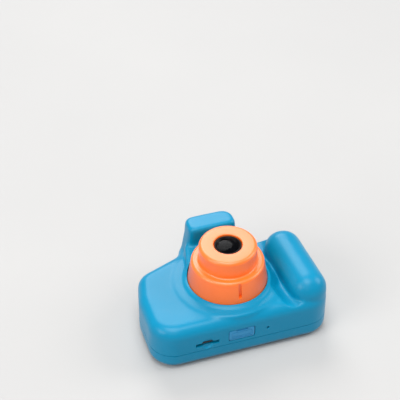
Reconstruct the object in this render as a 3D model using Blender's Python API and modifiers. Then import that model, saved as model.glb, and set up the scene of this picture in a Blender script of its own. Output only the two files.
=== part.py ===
"""Kids digital camera, lying on its back: lens up (+Z), hump away (+Y), grip on the right (+X).

All sizes are millimetres; mm() turns them into metres where objects are made.
The origin is the middle of the camera's footprint, on the surface that it lies on.
"""
import math

import bmesh
import bpy
from mathutils import Matrix, Vector

# Whole camera
HALF_H = 32.0
BODY_TOP = 25.5
EDGE_R = 5.0
WALL = 2.0
FLOOR = 2.2
GAP = 0.3
SPLIT_Z = 9.0

# Lens barrel, on an axis through (LENS_X, LENS_Y)
LENS_X = 0.0
LENS_Y = -3.0
SEAT_Z = 26.0
BARREL_R = 20.5
LEDGE_R = 18.5
LEDGE_Z = 39.4
TIER_R = 14.8
FRONT_Z = 49.5
SPIGOT_R = 15.7
LENS_R = 6.9
INDEX_W = 1.5
INDEX_LEN = 8.5

# Hump, and the skirt that climbs to it from the barrel's foot
HUMP_Z = 42.7
HUMP_HALF = 11.2
HUMP_FOOT_HALF = 17.5
HUMP_BACK = 20.4
HUMP_FRONT = HALF_H - 0.2
SKIRT_R = 21.7
SKIRT_Z = 26.9
SKIRT_SLOPE = math.atan2(4.0, 26.0)

# Grip
GRIP_X0 = 27.5
GRIP_X1 = 46.9
GRIP_Y0 = -30.5
GRIP_Y1 = 19.0
GRIP_LEAN = 2.3
GRIP_Z = 34.4
VALLEY_R = 3.2
VALLEY_Z = 26.3

# Screen and keys on the back
SCREEN_X = 10.5
SCREEN_Y = -2.5
SCREEN_VIEW = (41.0, 31.0)
SCREEN_WINDOW = (46.0, 36.0)
LCD_SIZE = (48.0, 37.0)
PAD_X = -28.5
PAD_Y = -2.0
PAD_STEP = 9.4
KEY_R = 3.2
OK_R = 3.8
SMALL_KEY_R = 2.5
SMALL_KEY_Y = -22.0
SPEAKER_PLACE = (0.0, 22.4)
LIGHT_PLACE = (PAD_X, 13.6)

# The keys on the back: name, place and radius
KEYS = (
    ("key_up", PAD_X, PAD_Y + PAD_STEP, KEY_R),
    ("key_down", PAD_X, PAD_Y - PAD_STEP, KEY_R),
    ("key_left", PAD_X - PAD_STEP, PAD_Y, KEY_R),
    ("key_right", PAD_X + PAD_STEP, PAD_Y, KEY_R),
    ("key_ok", PAD_X, PAD_Y, OK_R),
    ("key_menu", PAD_X - 2.6, SMALL_KEY_Y, SMALL_KEY_R),
    ("key_play", PAD_X + 7.0, SMALL_KEY_Y, SMALL_KEY_R),
)

# Main board
BOARD_Z = 10.8
BOARD_T = 1.2
BOARD_X = (-41.0, 26.5)
BOARD_Y = (-28.5, 14.0)

# Buttons in the top wall
BUTTON_Z = 15.4
SHUTTER_R = 4.4
POWER_R = 2.6

# Ports in the bottom wall
USB_X = -2.0
CARD_X = -20.0
MIC_X = 12.0
MIC_Z = 14.4

# Screws; a case post is (x, y, top)
CASE_POSTS = (
    (-38.3, 9.0, 24.7),
    (-39.0, -21.5, 24.7),
    (39.0, -24.0, 30.5),
    (38.6, 11.5, 30.5),
)
BOARD_POSTS = ((-16.0, 12.2), (22.0, -24.2))
POST_R = 2.7
SHANK_R = 1.0
HEAD_R = 2.0
BARREL_SCREW_R = 17.6

ROUND = 32

# Corners of the body as (x, y, corner radius), anticlockwise
BODY_CORNERS = (
    (-47.0, -32.0, 13.0),
    (47.0, -32.0, 12.0),
    (47.0, -10.0, 20.0),
    (44.8, 20.2, 9.5),
    (18.5, 23.8, 3.0),
    (15.0, 32.0, 6.0),
    (-15.0, 32.0, 6.0),
    (-18.5, 23.8, 3.0),
    (-42.9, 14.6, 10.0),
    (-47.0, -2.0, 20.0),
)
GRIP_CORNERS = (
    (GRIP_X0, GRIP_Y0, 9.4),
    (GRIP_X1, GRIP_Y0, 9.4),
    (GRIP_X1 - GRIP_LEAN, GRIP_Y1, 9.4),
    (GRIP_X0 - GRIP_LEAN, GRIP_Y1, 9.4),
)


def mm(value):
    return value * 0.001


def clear_scene():
    for item in list(bpy.data.objects):
        bpy.data.objects.remove(item, do_unlink=True)


clear_scene()
PARTS = bpy.data.collections.new("kids_digital_camera")
CUTTERS = bpy.data.collections.new("cutters")
bpy.context.scene.collection.children.link(PARTS)
bpy.context.scene.collection.children.link(CUTTERS)


# ---------------------------------------------------------------- materials
def material(name, colour, roughness, metallic=0.0):
    made = bpy.data.materials.new(name)
    made.use_nodes = True
    shader = made.node_tree.nodes["Principled BSDF"]
    shader.inputs["Base Color"].default_value = (*colour, 1.0)
    shader.inputs["Roughness"].default_value = roughness
    shader.inputs["Metallic"].default_value = metallic
    return made


BODY_BLUE = material("body_blue", (0.02, 0.36, 0.66), 0.38)
BARREL_ORANGE = material("barrel_orange", (0.95, 0.30, 0.10), 0.42)
KEY_ORANGE = material("key_orange", (0.95, 0.30, 0.10), 0.40)
LENS_BLACK = material("lens_black", (0.01, 0.01, 0.012), 0.05)
SCREEN_BLACK = material("screen_black", (0.015, 0.015, 0.018), 0.08)
INNER_BLACK = material("inner_black", (0.02, 0.02, 0.02), 0.6)
LENS_GLASS = material("lens_glass", (0.10, 0.12, 0.16), 0.03)
BOARD_GREEN = material("board_green", (0.02, 0.18, 0.07), 0.5)
CELL_SILVER = material("cell_silver", (0.60, 0.60, 0.62), 0.35, 0.8)
STEEL = material("steel", (0.62, 0.62, 0.64), 0.3, 1.0)
RUBBER_BLUE = material("rubber_blue", (0.02, 0.32, 0.60), 0.7)
SILICONE_GREY = material("silicone_grey", (0.45, 0.47, 0.50), 0.7)
CARD_BLACK = material("card_black", (0.03, 0.03, 0.035), 0.45)
LIGHT_CLEAR = material("light_clear", (0.80, 0.85, 0.90), 0.2)
RIBBON_AMBER = material("ribbon_amber", (0.45, 0.20, 0.03), 0.4)


# ---------------------------------------------------------------- outlines
def outline(corners, inset=0.0):
    """Points of a rounded polygon, moved inwards by inset; every round corner is an arc."""
    count = len(corners)
    lines = []
    for index in range(count):
        start = Vector(corners[index][:2])
        end = Vector(corners[(index + 1) % count][:2])
        along = (end - start).normalized()
        inward = Vector((-along.y, along.x))
        lines.append((start + inward * inset, along))
    points = []
    for index in range(count):
        before, after = lines[index - 1], lines[index]
        cross = before[1].cross(after[1])
        offset = after[0] - before[0]
        corner = before[0] + before[1] * (offset.cross(after[1]) / cross)
        turn = math.atan2(cross, before[1].dot(after[1]))
        radius = corners[index][2] - math.copysign(inset, turn)
        tangent = radius * math.tan(abs(turn) / 2)
        side = math.copysign(1.0, turn)
        first = corner - before[1] * tangent
        centre = first + Vector((-before[1].y, before[1].x)) * radius * side
        steps = max(2, math.ceil(abs(turn) / math.radians(18)))
        for step in range(steps + 1):
            swing = Matrix.Rotation(turn * step / steps, 2)
            points.append(centre + swing @ (first - centre))
    return points


def rectangle(x0, x1, y0, y1, radius):
    return ((x0, y0, radius), (x1, y0, radius), (x1, y1, radius), (x0, y1, radius))


# ---------------------------------------------------------------- solids
def add_object(name, mesh, home, paint=None, smooth=False):
    """Links a mesh as a named object; a part is painted, a cutter is hidden wire."""
    item = bpy.data.objects.new(name, mesh)
    home.objects.link(item)
    if paint:
        mesh.materials.append(paint)
    if smooth:
        mesh.shade_smooth()
        mesh.set_sharp_from_angle(angle=math.radians(35))
    if home is CUTTERS:
        item.hide_render = True
        item.display_type = "WIRE"
    return item


def box(name, low, high, home=CUTTERS, paint=None):
    size = [mm(b - a) for a, b in zip(low, high)]
    middle = [mm(a + b) / 2 for a, b in zip(low, high)]
    shape = bmesh.new()
    bmesh.ops.create_cube(shape, size=1.0, matrix=Matrix.Diagonal((*size, 1.0)))
    mesh = bpy.data.meshes.new(name)
    shape.to_mesh(mesh)
    shape.free()
    item = add_object(name, mesh, home, paint)
    item.location = middle
    return item


def rod(name, start, end, radius, home=CUTTERS, paint=None, sides=ROUND, tip=None):
    """A cylinder, or a cone to the tip radius, from one point to another."""
    a, b = Vector(start), Vector(end)
    shape = bmesh.new()
    bmesh.ops.create_cone(
        shape, cap_ends=True, segments=sides, depth=mm((b - a).length),
        radius1=mm(radius), radius2=mm(radius if tip is None else tip),
    )
    mesh = bpy.data.meshes.new(name)
    shape.to_mesh(mesh)
    shape.free()
    item = add_object(name, mesh, home, paint, smooth=True)
    item.location = (a + b) * mm(0.5)
    item.rotation_mode = "QUATERNION"
    item.rotation_quaternion = (b - a).to_track_quat("Z", "Y")
    return item


def plate(name, points, z0, z1, home=CUTTERS, paint=None, edge=0.0):
    """A flat outline given thickness, with its rims rounded by the edge radius."""
    curve = bpy.data.curves.new(name, "CURVE")
    curve.dimensions = "2D"
    curve.fill_mode = "BOTH"
    curve.extrude = mm((z1 - z0) / 2 - edge)
    curve.bevel_depth = mm(edge)
    curve.bevel_resolution = 2
    curve.offset = -mm(edge)
    spline = curve.splines.new("POLY")
    spline.points.add(len(points) - 1)
    for point, place in zip(spline.points, points):
        point.co = (mm(place[0]), mm(place[1]), 0.0, 1.0)
    spline.use_cyclic_u = True
    guide = bpy.data.objects.new(name + "_outline", curve)
    CUTTERS.objects.link(guide)
    bpy.context.view_layer.update()
    graph = bpy.context.evaluated_depsgraph_get()
    mesh = bpy.data.meshes.new_from_object(guide.evaluated_get(graph))
    mesh.name = name
    bpy.data.objects.remove(guide, do_unlink=True)
    shape = bmesh.new()
    shape.from_mesh(mesh)
    bmesh.ops.remove_doubles(shape, verts=shape.verts, dist=mm(0.002))
    bmesh.ops.recalc_face_normals(shape, faces=shape.faces)
    shape.to_mesh(mesh)
    shape.free()
    item = add_object(name, mesh, home, paint, smooth=True)
    item.location = (0.0, 0.0, mm((z0 + z1) / 2))
    return item


def loft(name, sections, home=CUTTERS, paint=None):
    """A solid through closed sections of equal point count, given from the bottom up."""
    shape = bmesh.new()
    rings = [[shape.verts.new([mm(v) for v in point]) for point in section] for section in sections]
    for low, high in zip(rings, rings[1:]):
        for index in range(len(low)):
            after = (index + 1) % len(low)
            shape.faces.new((low[index], low[after], high[after], high[index]))
    shape.faces.new(list(reversed(rings[0])))
    shape.faces.new(rings[-1])
    mesh = bpy.data.meshes.new(name)
    shape.to_mesh(mesh)
    shape.free()
    return add_object(name, mesh, home, paint, smooth=True)


def turned(name, profile, place, home=CUTTERS, paint=None, steps=ROUND):
    """A profile of (radius, height) spun about +Z; it runs from the top, down its outer side."""
    mesh = bpy.data.meshes.new(name)
    count = len(profile)
    closed = profile[0][0] > 0.0
    edges = [(i, i + 1) for i in range(count - 1)]
    if closed:
        edges.append((count - 1, 0))
    mesh.from_pydata([(mm(r), 0.0, mm(z)) for r, z in profile], edges, [])
    item = add_object(name, mesh, home, paint)
    item.location = [mm(v) for v in place]
    spin = item.modifiers.new("spin", "SCREW")
    spin.steps = steps
    spin.render_steps = steps
    spin.use_merge_vertices = True
    spin.merge_threshold = 0.00001
    spin.use_smooth_shade = True
    return item


def combine(item, other, operation):
    step = item.modifiers.new(operation.lower(), "BOOLEAN")
    step.operation = operation
    step.solver = "EXACT"
    step.object = other


def cut(item, *others):
    for other in others:
        combine(item, other, "DIFFERENCE")


def join(item, *others):
    for other in others:
        combine(item, other, "UNION")


def round_edges(item, width, segments=2):
    bevel = item.modifiers.new("round_edges", "BEVEL")
    bevel.width = mm(width)
    bevel.segments = segments
    bevel.limit_method = "ANGLE"
    bevel.angle_limit = math.radians(40)


# ---------------------------------------------------------------- case
def hump_sections(inset):
    """Sections of the hump, wide where it meets the body and rounded over at the front."""
    sections = []
    top = HUMP_Z - inset
    for height, half, back, front in (
        (8.0, HUMP_FOOT_HALF - 2.6, HUMP_BACK, HUMP_FRONT),
        (BODY_TOP, HUMP_FOOT_HALF - 2.6, HUMP_BACK, HUMP_FRONT),
        (top - 6.5, HUMP_HALF + 2.0, HUMP_BACK - 0.4, HUMP_FRONT),
        (top - 2.0, HUMP_HALF + 0.6, HUMP_BACK - 0.6, HUMP_FRONT - 0.5),
        (top - 0.6, HUMP_HALF - 0.1, HUMP_BACK + 0.1, HUMP_FRONT - 1.4),
        (top, HUMP_HALF - 1.3, HUMP_BACK + 1.2, HUMP_FRONT - 2.6),
    ):
        corners = (
            (-half, back, 2.6), (half, back, 2.6), (half, front, 5.0), (-half, front, 3.6),
        )
        ring = outline(corners, inset)
        sections.append([(x, y, height) for x, y in ring])
    return sections


def skirt():
    """The collar that hugs the barrel's foot and climbs towards the hump."""
    foot = HUMP_FOOT_HALF
    ring = [
        (SKIRT_R * math.cos(a), LENS_Y + SKIRT_R * math.sin(a))
        for a in (math.radians(180 + 10 * k) for k in range(19))
    ]
    points = ring + [(foot + 2.6, 12.0), (foot, 22.5), (-foot, 22.5), (-foot - 2.6, 12.0)]
    collar = plate("skirt", points, 18.0, 34.0)
    slope = box("skirt_slope", (-40, -40, 0), (40, 40, 20))
    slope.rotation_euler = (SKIRT_SLOPE, 0.0, 0.0)
    lift = Matrix.Rotation(SKIRT_SLOPE, 3, "X") @ Vector((0.0, 0.0, 10.0))
    slope.location = (Vector((0.0, LENS_Y, SKIRT_Z)) + lift) * mm(1.0)
    well = rod("skirt_well", (LENS_X, LENS_Y, SEAT_Z), (LENS_X, LENS_Y, 40), BARREL_R + 0.45, sides=40)
    cut(collar, slope, well)
    return collar


def valley(name, radius):
    """The finger groove between the barrel and the grip; it leans with the grip."""
    near = GRIP_X0 - 2.2
    return rod(name, (near, -40, VALLEY_Z), (near - GRIP_LEAN * 1.3, 26, VALLEY_Z), radius, sides=20)


def body_shape(name, home=CUTTERS, paint=None):
    """The outer solid of the whole camera body, before it is hollowed and split."""
    body = plate(name, outline(BODY_CORNERS), 0.0, BODY_TOP, home, paint, edge=EDGE_R)
    hump = loft("hump_block", hump_sections(0.0))
    grip = plate("grip_block", outline(GRIP_CORNERS), 8.0, GRIP_Z, edge=9.0)
    seat = rod("lens_seat", (LENS_X, LENS_Y, 18), (LENS_X, LENS_Y, SEAT_Z), 27.0, sides=40, tip=26.2)
    join(body, hump, seat)
    cut(body, valley("valley", VALLEY_R))
    join(body, grip, skirt())
    return body


def body_cavity(name):
    """The hollow inside: the body, hump and grip, each drawn in by the wall."""
    hollow = plate(name, outline(BODY_CORNERS, WALL), FLOOR, BODY_TOP - WALL, edge=3.0)
    hump = loft("hump_hollow", hump_sections(WALL))
    grip = plate("grip_hollow", outline(GRIP_CORNERS, WALL), 10.0, GRIP_Z - WALL, edge=6.5)
    join(hollow, hump)
    cut(hollow, valley("valley_floor", VALLEY_R + WALL))
    join(hollow, grip)
    return hollow


def front_cover():
    cover = body_shape("front_cover", PARTS, BODY_BLUE)
    cut(cover, box("below_split", (-60, -60, -5), (60, 60, SPLIT_Z + GAP)), body_cavity("front_hollow"))
    for number, (x, y, top) in enumerate(CASE_POSTS, 1):
        join(cover, rod(f"front_post_{number}", (x, y, 5.8), (x, y, top), POST_R, sides=14))
        cut(cover, rod(f"front_pilot_{number}", (x, y, 5.0), (x, y, 20.0), SHANK_R + GAP, sides=12))
    cut(cover, rod("barrel_hole", (LENS_X, LENS_Y, 10), (LENS_X, LENS_Y, 30), SPIGOT_R + GAP, sides=40))
    for x, y in barrel_screw_places():
        cut(cover, rod("barrel_screw_hole", (x, y, 20), (x, y, 30), SHANK_R + GAP, sides=12))
    cut_button_holes(cover)
    cut_ports(cover)
    add_strap_pocket(cover)
    return cover


def barrel_screw_places():
    places = []
    for turn in (90, 210, 330):
        angle = math.radians(turn)
        x = LENS_X + BARREL_SCREW_R * math.cos(angle)
        places.append((x, LENS_Y + BARREL_SCREW_R * math.sin(angle)))
    return places


def screen_outline(size, inset, radius):
    """A rounded rectangle centred on the screen, drawn in by inset."""
    half_w, half_h = size[0] / 2, size[1] / 2
    corners = rectangle(
        SCREEN_X - half_w, SCREEN_X + half_w, SCREEN_Y - half_h, SCREEN_Y + half_h, radius,
    )
    return outline(corners, inset)


def rear_cover():
    cover = plate("rear_cover", outline(BODY_CORNERS), 0.0, BODY_TOP, PARTS, BODY_BLUE, edge=EDGE_R)
    hollow = plate("rear_hollow", outline(BODY_CORNERS, WALL), FLOOR, BODY_TOP - WALL, edge=3.0)
    cut(cover, box("above_split", (-60, -60, SPLIT_Z), (60, 60, 60)), hollow)
    cut(cover, plate("window_pocket", screen_outline(SCREEN_WINDOW, 0.0, 3.0), -1.0, 1.4))
    cut(cover, plate("view_opening", screen_outline(SCREEN_VIEW, -0.5, 1.5), -1.0, 4.0))
    for name, x, y, radius in KEYS:
        cut(cover, rod(name + "_hole", (x, y, -1), (x, y, 4), radius + GAP, sides=18))
    for number, post in enumerate(CASE_POSTS, 1):
        x, y = post[:2]
        join(cover, rod(f"screw_tube_{number}", (x, y, 1.0), (x, y, 5.4), 3.4, sides=14))
        cut(cover, rod(f"head_recess_{number}", (x, y, -1), (x, y, 3.9), HEAD_R + 0.4, sides=14))
        cut(cover, rod(f"shank_hole_{number}", (x, y, 3), (x, y, 7), SHANK_R + GAP, sides=10))
    for number, (x, y) in enumerate(BOARD_POSTS, 1):
        join(cover, rod(f"board_post_{number}", (x, y, 1.0), (x, y, BOARD_Z - GAP), 1.8, sides=14))
        cut(cover, rod(f"board_pilot_{number}", (x, y, 4.5), (x, y, 12), 0.7 + GAP, sides=10))
    for x, y in grille_places():
        cut(cover, rod("grille_hole", (x, y, -1), (x, y, 4), 0.6, sides=8))
    cut(cover, rod("light_hole", (*LIGHT_PLACE, -1), (*LIGHT_PLACE, 4), 1.2, sides=12))
    return cover


def grille_places():
    """One hole in the middle of the speaker and six around it."""
    x, y = SPEAKER_PLACE
    ring = [math.radians(60 * k) for k in range(6)]
    return [(x, y)] + [(x + 2.6 * math.cos(a), y + 2.6 * math.sin(a)) for a in ring]


# ---------------------------------------------------------------- buttons in the top wall
def wall_frame(start, end, share):
    """A place on the top wall between two body corners, and the wall's outward direction."""
    a, b = Vector(start[:2]), Vector(end[:2])
    along = (b - a).normalized()
    return a.lerp(b, share), Vector((along.y, -along.x))


SHUTTER_AT, SHUTTER_OUT = wall_frame(BODY_CORNERS[7], BODY_CORNERS[8], 0.42)
POWER_AT, POWER_OUT = wall_frame(BODY_CORNERS[3], BODY_CORNERS[4], 0.78)


def wall_point(place, outward, distance):
    spot = place + outward * distance
    return (spot.x, spot.y, BUTTON_Z)


def cut_button_holes(cover):
    for name, place, outward, radius in (
        ("shutter", SHUTTER_AT, SHUTTER_OUT, SHUTTER_R),
        ("power", POWER_AT, POWER_OUT, POWER_R),
    ):
        start = wall_point(place, outward, -3.5)
        end = wall_point(place, outward, 3.0)
        cut(cover, rod(name + "_hole", start, end, radius + GAP, sides=20))


def wall_button(name, place, outward, radius, stem_end):
    """A cap with a rounded face, a flange behind the wall and a stem to its switch."""
    profile = [
        (0.0, 1.9), (radius * 0.55, 1.8), (radius - 0.5, 1.3), (radius, 0.7), (radius, -2.3),
        (radius + 0.9, -2.3), (radius + 0.9, -3.1), (1.4, -3.1), (1.4, stem_end), (0.0, stem_end),
    ]
    button = turned(name, profile, (place.x, place.y, BUTTON_Z), PARTS, KEY_ORANGE, steps=20)
    button.rotation_mode = "QUATERNION"
    button.rotation_quaternion = Vector((*outward, 0.0)).to_track_quat("Z", "Y")
    return button


def edge_switch(name, place, outward, near):
    """A right-angle push switch standing on the main board, its plunger facing the button."""
    body = box(name, (-3.0, -3.1, -3.4), (3.0, 3.1, 0.0), PARTS, INNER_BLACK)
    spot = place + outward * near
    turn = Vector((*outward, 0.0)).to_track_quat("Z", "Y")
    centre = Vector((*spot, BUTTON_Z))
    body.rotation_mode = "QUATERNION"
    body.rotation_quaternion = turn
    body.location = (centre + turn @ Vector((0.0, 0.0, -1.7))) * mm(1.0)
    tip = centre + Vector((*outward, 0.0)) * 0.7
    back = centre - Vector((*outward, 0.0)) * 1.0
    join(body, rod(name + "_plunger", back, tip, 1.2, sides=14))
    return body


# ---------------------------------------------------------------- ports in the bottom wall
PORT_Z = BOARD_Z + BOARD_T + GAP
USB_SIZE = (7.6, 5.2, 2.7)
USB_FRONT = -30.2
CARD_SIZE = (11.0, 15.0, 1.0)
CARD_Z = PORT_Z + 0.4
FLAP_X = (USB_X - 7.0, USB_X + 7.0)
FLAP_Z = (11.0, 18.2)
FLAP_T = 1.2


def cut_ports(cover):
    """Openings in the bottom wall, with a thicker pad of wall around the flap."""
    outside, inside = -HALF_H - 2.0, -HALF_H + 4.0
    pad_low = (FLAP_X[0] - 1.5, -HALF_H + 1.0, FLAP_Z[0] - 1.2)
    pad_high = (FLAP_X[1] + 1.5, -HALF_H + 3.0, FLAP_Z[1] + 1.2)
    join(cover, box("port_pad", pad_low, pad_high))
    floor = -HALF_H + FLAP_T + GAP
    cut(cover, box("flap_recess", (FLAP_X[0], outside, FLAP_Z[0]), (FLAP_X[1], floor, FLAP_Z[1])))
    half = USB_SIZE[0] / 2 + 0.45
    usb_low = (USB_X - half, outside, PORT_Z - 0.4)
    usb_high = (USB_X + half, inside, PORT_Z + USB_SIZE[2] + 0.4)
    cut(cover, box("usb_hole", usb_low, usb_high))
    half = CARD_SIZE[0] / 2 + 0.6
    card_low = (CARD_X - half, outside, CARD_Z - 0.6)
    card_high = (CARD_X + half, inside, CARD_Z + 1.6)
    cut(cover, box("card_hole", card_low, card_high))
    dip_start = (CARD_X, -HALF_H - 1.4, CARD_Z + 0.5)
    dip_end = (CARD_X, -HALF_H + 0.9, CARD_Z + 0.5)
    cut(cover, rod("thumb_dip", dip_start, dip_end, 4.2, tip=2.4, sides=20))
    cut(cover, rod("mic_hole", (MIC_X, outside, MIC_Z), (MIC_X, inside, MIC_Z), 0.6, sides=10))


def port_cover():
    """A rubber flap over the charging socket; it turns on its lower outer edge."""
    outer = -HALF_H + 0.05
    low = (FLAP_X[0] + GAP, outer, FLAP_Z[0] + GAP)
    high = (FLAP_X[1] - GAP, outer + FLAP_T, FLAP_Z[1] - GAP)
    flap = box("port_cover", low, high, PARTS, RUBBER_BLUE)
    hinge = Vector((USB_X, outer, low[2]))
    shift = Vector(flap.location) - hinge * mm(1.0)
    flap.data.transform(Matrix.Translation(shift))
    flap.location = hinge * mm(1.0)
    nick_low = (USB_X - 3.0, outer - 1.0, high[2] - 1.0)
    nick_high = (USB_X + 3.0, outer + 0.5, high[2] + 1.0)
    cut(flap, box("flap_nick", nick_low, nick_high))
    return flap


# ---------------------------------------------------------------- strap eye
STRAP_Z = (11.6, 19.4)
STRAP_BAR_X = 45.0
STRAP_BAR_Z = 15.5


def add_strap_pocket(cover):
    join(cover, box("strap_block", (41.0, -6.6, STRAP_Z[0] - 1.3), (46.0, 6.6, STRAP_Z[1] + 1.3)))
    cut(cover, box("strap_recess", (42.3, -4.2, STRAP_Z[0]), (50.0, 4.2, STRAP_Z[1])))
    low, high = (STRAP_BAR_X, -5.6, STRAP_BAR_Z), (STRAP_BAR_X, 5.6, STRAP_BAR_Z)
    cut(cover, rod("strap_bar_hole", low, high, 1.2, sides=14))


def strap_bar():
    low, high = (STRAP_BAR_X, -5.3, STRAP_BAR_Z), (STRAP_BAR_X, 5.3, STRAP_BAR_Z)
    return rod("strap_bar", low, high, 0.9, PARTS, STEEL, sides=14)


# ---------------------------------------------------------------- lens
def lens_barrel():
    """One moulding: two tiers outside, a spigot through the cover and a seat for the window."""
    foot = SEAT_Z + GAP
    profile = [
        (LENS_R + 0.3, FRONT_Z - 0.7), (LENS_R + 0.9, FRONT_Z - 0.1), (TIER_R - 1.9, FRONT_Z),
        (TIER_R - 0.9, FRONT_Z - 0.25), (TIER_R - 0.4, FRONT_Z - 0.9), (TIER_R - 0.2, FRONT_Z - 1.8),
        (TIER_R, LEDGE_Z + 1.4), (TIER_R + 0.4, LEDGE_Z + 0.5), (TIER_R + 1.2, LEDGE_Z + 0.05),
        (LEDGE_R - 1.5, LEDGE_Z), (LEDGE_R - 0.5, LEDGE_Z - 0.35), (LEDGE_R, LEDGE_Z - 1.3),
        (LEDGE_R + 1.1, 33.0), (BARREL_R, foot), (SPIGOT_R, foot), (SPIGOT_R, 21.5),
        (SPIGOT_R - 1.8, 21.5), (SPIGOT_R - 1.8, foot + 3.7), (16.4, foot + 3.7), (16.4, LEDGE_Z - 2.4),
        (12.6, LEDGE_Z - 2.4), (12.6, FRONT_Z - 2.8), (LENS_R - 0.9, FRONT_Z - 2.8),
        (LENS_R - 0.9, FRONT_Z - 2.2), (LENS_R + 0.3, FRONT_Z - 2.2),
    ]
    barrel = turned("lens_barrel", profile, (LENS_X, LENS_Y, 0.0), PARTS, BARREL_ORANGE, steps=40)
    outer, inner = LENS_Y - LEDGE_R - 4.0, LENS_Y - LEDGE_R + 0.2
    half, foot_z = INDEX_W / 2, LEDGE_Z - INDEX_LEN
    slot = box("index_slot", (-half, outer, foot_z), (half, inner, LEDGE_Z + 2.0))
    join(slot, rod("index_slot_end", (0.0, outer, foot_z), (0.0, inner, foot_z), half))
    cut(barrel, slot)
    for x, y in barrel_screw_places():
        cut(barrel, rod("barrel_pilot", (x, y, 25), (x, y, foot + 2.6), SHANK_R + GAP - 0.2, sides=12))
    return barrel


def lens_window():
    edge = LENS_R - 0.05
    top, under = FRONT_Z - 0.75, FRONT_Z - 1.9
    profile = [(0.0, top), (edge - 0.4, top - 0.05), (edge, top - 0.3), (edge, under), (0.0, under)]
    return turned("lens_window", profile, (LENS_X, LENS_Y, 0.0), PARTS, LENS_BLACK, steps=40)


def lens_hood():
    """The black cone behind the window that keeps stray light off the small lens."""
    profile = [
        (8.2, FRONT_Z - 3.1), (8.2, FRONT_Z - 4.0), (4.6, 40.6), (3.9, 40.6), (3.9, 41.0),
        (5.9, FRONT_Z - 3.1),
    ]
    return turned("lens_hood", profile, (LENS_X, LENS_Y, 0.0), PARTS, INNER_BLACK, steps=24)


def lens_module():
    """The small threaded lens holder that stands on the sensor board."""
    profile = [
        (3.5, 43.4), (3.5, 38.0), (6.0, 38.0), (6.0, 33.6), (4.6, 33.6), (4.6, 36.5), (2.3, 36.5),
        (2.3, 43.4),
    ]
    return turned("lens_module", profile, (LENS_X, LENS_Y, 0.0), PARTS, INNER_BLACK, steps=20)


def lens_element():
    profile = [(0.0, 43.0), (1.2, 42.8), (2.0, 42.2), (2.0, 39.6), (0.0, 39.2)]
    return turned("lens_element", profile, (LENS_X, LENS_Y, 0.0), PARTS, LENS_GLASS, steps=16)


def sensor_board():
    low = (LENS_X - 8.0, LENS_Y - 8.0, 32.2)
    return box("sensor_board", low, (LENS_X + 8.0, LENS_Y + 8.0, 33.3), PARTS, BOARD_GREEN)


def sensor_ribbon():
    """The flat cable from the sensor board towards the main board, folded twice."""
    strip = [
        (-9.6, 31.9), (-3.0, 31.9), (-3.0, 31.6), (-9.3, 31.6), (-9.3, 13.6), (-4.0, 13.6),
        (-4.0, 13.2), (-9.6, 13.2),
    ]
    sections = [[(x, y, z) for y, z in strip] for x in (-4.0, 4.0)]
    ribbon = loft("sensor_ribbon", sections, PARTS, RIBBON_AMBER)
    ribbon.data.flip_normals()
    return ribbon


# ---------------------------------------------------------------- screen, keys and boards
def screen_window():
    pane = screen_outline(SCREEN_WINDOW, GAP, 3.0)
    return plate("screen_window", pane, 0.3, 1.1, PARTS, SCREEN_BLACK)


def screen_gasket():
    edge = screen_outline(LCD_SIZE, 0.0, 3.0)
    ring = plate("screen_gasket", edge, 2.5, 2.9, PARTS, SILICONE_GREY)
    cut(ring, plate("gasket_hole", screen_outline(LCD_SIZE, 2.5, 3.0), 0.0, 5.0))
    return ring


def lcd_panel():
    return plate("lcd_panel", screen_outline(LCD_SIZE, 0.0, 1.0), 3.2, 5.6, PARTS, CELL_SILVER)


def back_key(name, x, y, radius):
    """A key cap with a rounded face, a flange inside the cover and a stem to the keypad."""
    profile = [
        (0.0, 7.0), (1.5, 7.0), (1.5, 3.4), (radius + 0.9, 3.4), (radius + 0.9, 2.5), (radius, 2.5),
        (radius, 1.0), (radius - 0.5, 0.5), (0.0, 0.4),
    ]
    return turned(name, profile, (x, y, 0.0), PARTS, KEY_ORANGE, steps=18)


def keypad_membrane():
    """The silicone sheet under the keys, with a dome over each contact of the main board."""
    edge = outline(rectangle(-42.0, -14.6, -25.5, 10.2, 3.0))
    sheet = plate("keypad_membrane", edge, 8.2, 9.2, PARTS, SILICONE_GREY)
    for key in KEYS:
        x, y = key[1:3]
        join(sheet, rod(key[0] + "_dome", (x, y, 8.8), (x, y, 10.4), 2.4, tip=1.6, sides=12))
    for number, post in enumerate(CASE_POSTS[:2], 1):
        x, y = post[:2]
        cut(sheet, rod(f"membrane_notch_{number}", (x, y, 7), (x, y, 11), POST_R + 0.5, sides=16))
    return sheet


def main_board():
    edge = outline(rectangle(*BOARD_X, *BOARD_Y, 1.5))
    board = plate("main_board", edge, BOARD_Z, BOARD_Z + BOARD_T, PARTS, BOARD_GREEN)
    for x, y in BOARD_POSTS:
        cut(board, rod("board_hole", (x, y, 9), (x, y, 14), 0.7 + GAP, sides=10))
    cut(board, box("board_notch_low", (-45.0, -30.0, 9), (-35.2, -17.8, 14)))
    cut(board, box("board_notch_high", (-45.0, 5.4, 9), (-34.6, 16.0, 14)))
    return board


def board_parts():
    top = BOARD_Z + BOARD_T + GAP
    chip = box("main_chip", (2.0, 0.0, top), (13.0, 11.0, top + 1.3), PARTS, INNER_BLACK)
    round_edges(chip, 0.25, 1)
    usb_port()
    card_socket()
    memory_card()


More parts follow.
